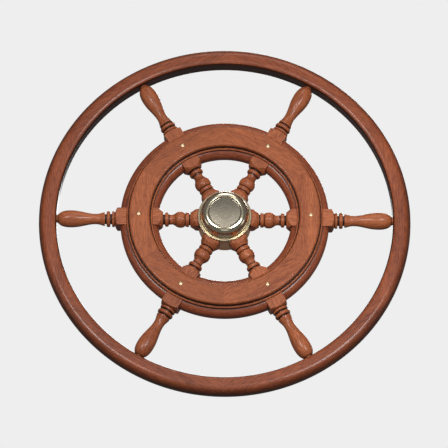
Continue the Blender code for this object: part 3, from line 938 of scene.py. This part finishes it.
def block(size, centre):
    """A plain box, given by its size and its middle in millimetres."""
    bm = bmesh.new()
    bmesh.ops.create_cube(bm, size=1)
    bmesh.ops.scale(bm, vec=Vector(size) * MM, verts=bm.verts)
    move(bm, centre)
    return bm


def screw_hole(circle_r, face, angle, facing_up=True):
    """The countersunk hole of one plate screw, which is deep enough to run into the drum."""
    wide, narrow = PLATE_SCREW_HEAD_R + 0.15, PLATE_SCREW_SHANK_R + 0.15
    corners = [(0, 2, 0), (wide, 2, 0), (wide, -0.4, 0), (narrow, -2, 0), (narrow, -8, 0), (0, -8, 0)]
    bm = turn(corners, False, 32)
    if not facing_up:
        rotate(bm, math.pi, "X")
    move(bm, on_circle(circle_r, angle, face))
    return bm


def screw_circle_of(name):
    """The radius of the circle that a set of screws stands on."""
    low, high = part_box(f"{name}_1")
    middle = BENCH.inverted() @ ((low + high) / 2)
    return math.hypot(middle.x, middle.y) / MM


front_circle, rear_circle = screw_circle_of("front_plate_screw"), screw_circle_of("rear_plate_screw")
drum = turn(
    [
        (RECESS_R, hub_front, 0.3),
        (hub_r, hub_front, 0.5),
        (hub_r, hub_front - 3.4, 0.3),
        (hub_r - 0.5, hub_front - 4.0, 0.2),
        (hub_r - 0.5, hub_back + 4.0, 0.2),
        (hub_r, hub_back + 3.4, 0.3),
        (hub_r, hub_back, 0.5),
        (hub_in, hub_back, 0.5),
        (hub_in, RECESS_FLOOR, 0.4),
        (RECESS_R, RECESS_FLOOR, 0.8),
    ],
    steps=144,
    segments=3,
)
for angle in all_spokes:
    socket = rod(HUB_TENON_R + 0.15, HUB_TENON_START - 0.3, 60)
    rotate(socket, angle)
    drum = carve(drum, socket)
drum = carve(drum, block((KEY_WIDTH + 0.6, KEY_HEIGHT + 0.6, 120), (0, KEY_RADIUS, 0)))
flange = turn(
    [
        (flange_in, flange_high, 0.4),
        (flange_r, flange_high, 0.8),
        (flange_r, flange_low, 0.8),
        (flange_in, flange_low, 0.3),
    ],
    steps=144,
    segments=6,
)
rear_plate = turn(
    [
        (plate_in, plate_high, 0.3),
        (plate_r, plate_high, 0.3),
        (plate_r, plate_low, 1.2),
        (26.0, plate_low, 0.3),
        (25.4, plate_low + 0.6, 0.2),
        (24.6, plate_low + 0.6, 0.2),
        (24.0, plate_low, 0.3),
        (plate_in, plate_low, 0.5),
    ],
    steps=144,
)
for angle in screw_angles:
    drum = carve(drum, screw_hole(front_circle, flange_high, angle))
    flange = carve(flange, screw_hole(front_circle, flange_high, angle))
    drum = carve(drum, screw_hole(rear_circle, plate_low, angle, facing_up=False))
    rear_plate = carve(rear_plate, screw_hole(rear_circle, plate_low, angle, facing_up=False))
hand_over("metal_hub_drum", drum, "hub_drum", "bronze_hub")
hand_over("metal_hub_flange", flange, "hub_front_plate", "brass_flange")
hand_over("metal_hub_rear_plate", rear_plate, "hub_rear_plate", "bronze_hub")

plate_screw = slotted_screw(PLATE_SCREW_HEAD_R, 0.05, 1.6, PLATE_SCREW_SHANK_R, 6.6, 0.7, 0.7)
sunk = flange_high - PLATE_SCREW_SUNK
set_screws("front_plate_screw", plate_screw.copy(), front_circle, sunk, screw_angles, [20, 75, 130])
raised = plate_low + PLATE_SCREW_SUNK
set_screws("rear_plate_screw", plate_screw, rear_circle, raised, screw_angles, [35, 100, 160], False)

# %% [markdown]
# ## Hub cap
# A spun brass cap covers the shaft nut. Its flank rises in one round curve to a bright lip. Inside the lip
# a satin disc lies a few millimetres deep, crowned by a millimetre, so that it shades from top to bottom.
# Two small drain holes sit low in the disc, because spray gets in. The spigot behind has a groove for the
# seal ring.

# %% Cap and seal ring
_, cap_r, spigot_end, cap_lip = bench_size("hub_cap")
CAP_DISC, DISC_R, SPIGOT_R, CAP_WALL, SEAL_MIDDLE, SEAT = 40.4, 29.4, 37.6, 2.4, 16.0, 21.3
cap_outline = [
    (0, CAP_DISC + 0.9, 0),
    (10.0, CAP_DISC + 0.8, SOFT),
    (20.0, CAP_DISC + 0.4, SOFT),
    (DISC_R, CAP_DISC - 0.3, 0.7),
    (30.1, cap_lip - 1.1, 0.5),
    (30.9, cap_lip - 0.3, 0.4),
    (33.0, cap_lip, SOFT),
    (37.4, cap_lip - 1.0, SOFT),
    (41.2, cap_lip - 4.3, SOFT),
    (43.9, cap_lip - 9.4, SOFT),
    (45.0, 28.4, SOFT),
    (45.3, 24.4, SOFT),
    (cap_r, SEAT + 1.8, 0.5),
    (cap_r, SEAT, 0.3),
    (SPIGOT_R, SEAT, 0.3),
    (SPIGOT_R, SEAL_MIDDLE + 1.4, 0.2),
    (SPIGOT_R - 1.5, SEAL_MIDDLE + 1.2, 0.2),
    (SPIGOT_R - 1.5, SEAL_MIDDLE - 1.2, 0.2),
    (SPIGOT_R, SEAL_MIDDLE - 1.4, 0.2),
    (SPIGOT_R, spigot_end, 0.5),
    (SPIGOT_R - CAP_WALL, spigot_end, 0.4),
    (SPIGOT_R - CAP_WALL, 32.0, 2.0),
    (SPIGOT_R - CAP_WALL - 4, CAP_DISC - CAP_WALL, 2.0),
    (0, CAP_DISC - CAP_WALL, 0),
]
cap = turn(cap_outline, False, 160, 5)
DRAIN_R, DRAIN_CIRCLE, DRAIN_DEGREES = 0.8, 27.9, 24
for side in (-1, 1):
    drain = upright_pin(DRAIN_R, CAP_DISC + 5, CAP_DISC - 8, DRAIN_CIRCLE, 20)
    turn_to = math.radians(-90 + side * DRAIN_DEGREES)
    rotate(drain, turn_to)
    cap = carve(cap, drain)
for face in cap.faces:
    centre = face.calc_center_median() / MM
    on_disc = abs(centre.z - CAP_DISC) < 1.0 and math.hypot(centre.x, centre.y) < DISC_R
    face.material_index = 1 if on_disc else 0
finishes = ["polished_brass", "satin_disc"]
hand_over("metal_hub_cap", cap, "hub_cap", "polished_brass", "cap", finishes)

# %% [markdown]
# ## Rubber and enamel
# Two finishes are left that are neither wood nor turned metal. Rubber is dull with a fine nap. Sprayed
# enamel on a casting is glossy but slightly lumpy. Both are a cloudy noise with different values.

# %% Moulded group and its finishes
moulded, given_in, given_out = new_group(
    "moulded_surface",
    {
        "Colour": ("Color", (0.5, 0.5, 0.5, 1)),
        "Shade": ("Color", (0.3, 0.3, 0.3, 1)),
        "Scale": ("Float", 1.0),
    },
    {"Colour": "Color", "Roughness": "Float", "Height": "Float"},
)
place = wire(moulded, "ShaderNodeTexCoord").outputs["Object"]
values = {"Vector": place, "Scale": given_in.outputs["Scale"], "Detail": 4}
cloud = wire(moulded, "ShaderNodeTexNoise", values).outputs["Fac"]
shaded = between(moulded, cloud, 0.4, 0.75, 0, 0.5)
colour = mix_colour(moulded, shaded, given_in.outputs["Colour"], given_in.outputs["Shade"])
moulded.links.new(colour, given_out.inputs["Colour"])
moulded.links.new(between(moulded, cloud, 0.3, 0.7, 0.36, 0.5), given_out.inputs["Roughness"])
moulded.links.new(cloud, given_out.inputs["Height"])

rubber_values = {"Colour": (0.02, 0.02, 0.02, 1), "Shade": (0.05, 0.05, 0.05, 1), "Scale": 600.0}
enamel_values = {"Colour": (0.78, 0.78, 0.76, 1), "Shade": (0.60, 0.60, 0.57, 1), "Scale": 90.0}
FINISHES["black_rubber"] = finish("black_rubber", moulded, rubber_values, 0.05)
FINISHES["white_enamel"] = finish("white_enamel", moulded, enamel_values, 0.15, coat=0.5)

seal_in, seal_out, seal_low, seal_high = bench_size("cap_seal_ring")
seal_half = (seal_out - seal_in) / 2
seal = bmesh.new()
bmesh.ops.create_circle(seal, cap_ends=False, segments=20, radius=seal_half * MM)
rotate(seal, math.pi / 2, "X")
bmesh.ops.scale(seal, vec=(1, 1, (seal_high - seal_low) / (2 * seal_half)), verts=seal.verts)
move(seal, (seal_in + seal_half, 0, (seal_low + seal_high) / 2))
spin_round(seal, 120)
bmesh.ops.recalc_face_normals(seal, faces=seal.faces)
hand_over("rubber_seal_ring", seal, "cap_seal_ring", "black_rubber", "cap")

# %% [markdown]
# ## Shaft, key, washer, nut and collar
# These are plain steel hardware. The shaft's front end is threaded, and a thread is a row of fine grooves
# at this scale, so the outline simply goes in and out. The nut's corners are chamfered the usual way: a
# turned cone meets the hexagon.

# %% Shaft and its hardware
_, shaft_r, shaft_back, shaft_front = bench_size("helm_shaft")
washer_in, washer_r, washer_low, washer_high = bench_size("shaft_washer")
_, nut_corner, nut_low, nut_high = bench_size("shaft_nut")
collar_in, collar_r, collar_low, collar_high = bench_size("shaft_collar")
THREAD_R, THREAD_PITCH, THREAD_DEPTH, SHOULDER = 10.0, 2.0, 1.0, 10.7
shaft_outline = [(0, shaft_front, 0), (THREAD_R - 1.4, shaft_front, 0.3)]
crest = shaft_front - 1.5
while crest > SHOULDER + THREAD_PITCH:
    shaft_outline.append((THREAD_R, crest, 0.1))
    shaft_outline.append((THREAD_R - THREAD_DEPTH, crest - THREAD_PITCH / 2, 0.1))
    crest -= THREAD_PITCH
shaft_outline += [
    (THREAD_R - THREAD_DEPTH, SHOULDER, 0.3),
    (shaft_r, SHOULDER, 0.4),
    (shaft_r, shaft_back + 1, 0.2),
    (shaft_r - 1, shaft_back, 0.2),
    (2.2, shaft_back, 0.2),
    (0, shaft_back + 2.2, 0),
]
shaft = turn(shaft_outline, False, 96, 2)
key_place = (0, KEY_RADIUS, KEY_MIDDLE)
key_seat = block((KEY_WIDTH + 0.3, KEY_HEIGHT + 0.3, KEY_LENGTH + 0.3), key_place)
shaft = carve(shaft, key_seat)
hand_over("steel_helm_shaft", shaft, "helm_shaft", "stainless_steel")

key = block((KEY_WIDTH, KEY_HEIGHT, KEY_LENGTH), key_place)
ease(key, key.edges[:], 0.5)
hand_over("steel_shaft_key", key, "shaft_key", "stainless_steel")


def plain_ring(inner, outer, low, high, rounding):
    """A square-sectioned ring with its four edges rounded."""
    corners = [(inner, high), (outer, high), (outer, low), (inner, low)]
    return turn([(radius, height, rounding) for radius, height in corners], segments=4)


washer = plain_ring(washer_in, washer_r, washer_low, washer_high, 0.4)
hand_over("steel_shaft_washer", washer, "shaft_washer", "stainless_steel")


def hexagon(corner_r, low, high):
    """A six-sided prism on the bench's upright axis."""
    bm = bmesh.new()
    bmesh.ops.create_cone(
        bm,
        segments=6,
        radius1=corner_r * MM,
        radius2=corner_r * MM,
        depth=(high - low) * MM,
        cap_ends=True,
        matrix=Matrix.Translation((0, 0, (low + high) / 2 * MM)),
    )
    return bm


nut = hexagon(nut_corner, nut_low, nut_high)
ease(nut, nut.edges[:], 0.6)
for top, outward in ((nut_high, 1), (nut_low, -1)):
    waste = turn(
        [
            (nut_corner * 0.83, top + outward * 0.01, 0),
            (nut_corner * 1.3, top - outward * nut_corner * 0.27, 0),
            (nut_corner * 1.3, top + outward * 4, 0),
            (nut_corner * 0.83, top + outward * 4, 0),
        ],
        steps=72,
    )
    nut = carve(nut, waste)
nut = carve(nut, upright_pin(THREAD_R + 0.2, nut_high + 5, nut_low - 5, 0, 64))
hand_over("steel_shaft_nut", nut, "shaft_nut", "stainless_steel")

collar = plain_ring(collar_in, collar_r, collar_low, collar_high, 0.7)
SET_SCREW_R = 2.5
set_screw_hole = rod(SET_SCREW_R, collar_in + 2, collar_r + 5, 32)
move(set_screw_hole, (0, 0, (collar_low + collar_high) / 2))
collar = carve(collar, set_screw_hole)
hand_over("steel_shaft_collar", collar, "shaft_collar", "stainless_steel")

# %% [markdown]
# ## Bearing
# The bearing is an enamelled casting: a flange that bolts to the panel, a nose in front and a tail behind,
# with a fillet wherever a casting would have one. Two bronze bushes carry the shaft, and four socket
# screws hold the flange.

# %% Bearing housing, bushes and bolts
bearing_in, flange_wide, tail, nose = bench_size("bearing_housing")
NOSE_R, MOUNTING_FACE, FLANGE_FRONT = 24.0, -50.0, -42.0
housing = turn(
    [
        (bearing_in, nose, 0.6),
        (NOSE_R, nose, 1.5),
        (NOSE_R, FLANGE_FRONT, 3.0),
        (flange_wide, FLANGE_FRONT, 1.6),
        (flange_wide, MOUNTING_FACE, 0.6),
        (NOSE_R, MOUNTING_FACE, 0.4),
        (NOSE_R, tail, 1.5),
        (bearing_in, tail, 0.6),
    ],
    steps=128,
    segments=6,
)
BOLTS, BOLT_R, BOLT_HEAD_HEIGHT, BOLT_END = 4, 3.0, 4.5, -30.0
bolt_low, bolt_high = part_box("mounting_bolt_1")
bolt_middle = BENCH.inverted() @ ((bolt_low + bolt_high) / 2) / MM
BOLT_CIRCLE = math.hypot(bolt_middle.x, bolt_middle.y)
BOLT_HEAD_R = (bolt_high.x - bolt_low.x) / 2 / MM
bolt = turn(
    [
        (0, BOLT_HEAD_HEIGHT, 0),
        (BOLT_HEAD_R, BOLT_HEAD_HEIGHT, 0.5),
        (BOLT_HEAD_R, 0.2, 0.2),
        (BOLT_R, 0.2, 0.2),
        (BOLT_R, BOLT_END, 0.6),
        (0, BOLT_END, 0),
    ],
    False,
    48,
    3,
)
SOCKET_CORNER_R, SOCKET_DEPTH = 2.9, 2.5
socket_floor, above_head = BOLT_HEAD_HEIGHT - SOCKET_DEPTH, BOLT_HEAD_HEIGHT + SOCKET_DEPTH
bolt = carve(bolt, hexagon(SOCKET_CORNER_R, socket_floor, above_head))
for number in range(1, BOLTS + 1):
    angle = math.pi / BOLTS + 2 * math.pi * (number - 1) / BOLTS
    hole = upright_pin(BOLT_R + 0.3, 10, -20, 0, 32)
    copy = bolt.copy()
    for item in (hole, copy):
        move(item, on_circle(BOLT_CIRCLE, angle, FLANGE_FRONT))
    housing = carve(housing, hole)
    name = f"mounting_bolt_{number}"
    hand_over(f"steel_{name}", copy, name, "stainless_steel", "bearing")
bolt.free()
hand_over("enamel_bearing_housing", housing, "bearing_housing", "white_enamel", "bearing")
for name in ("front_bush", "rear_bush"):
    bush = plain_ring(*bench_size(name), rounding=0.4)
    hand_over(f"bronze_{name}", bush, name, "bearing_bronze", "bearing")
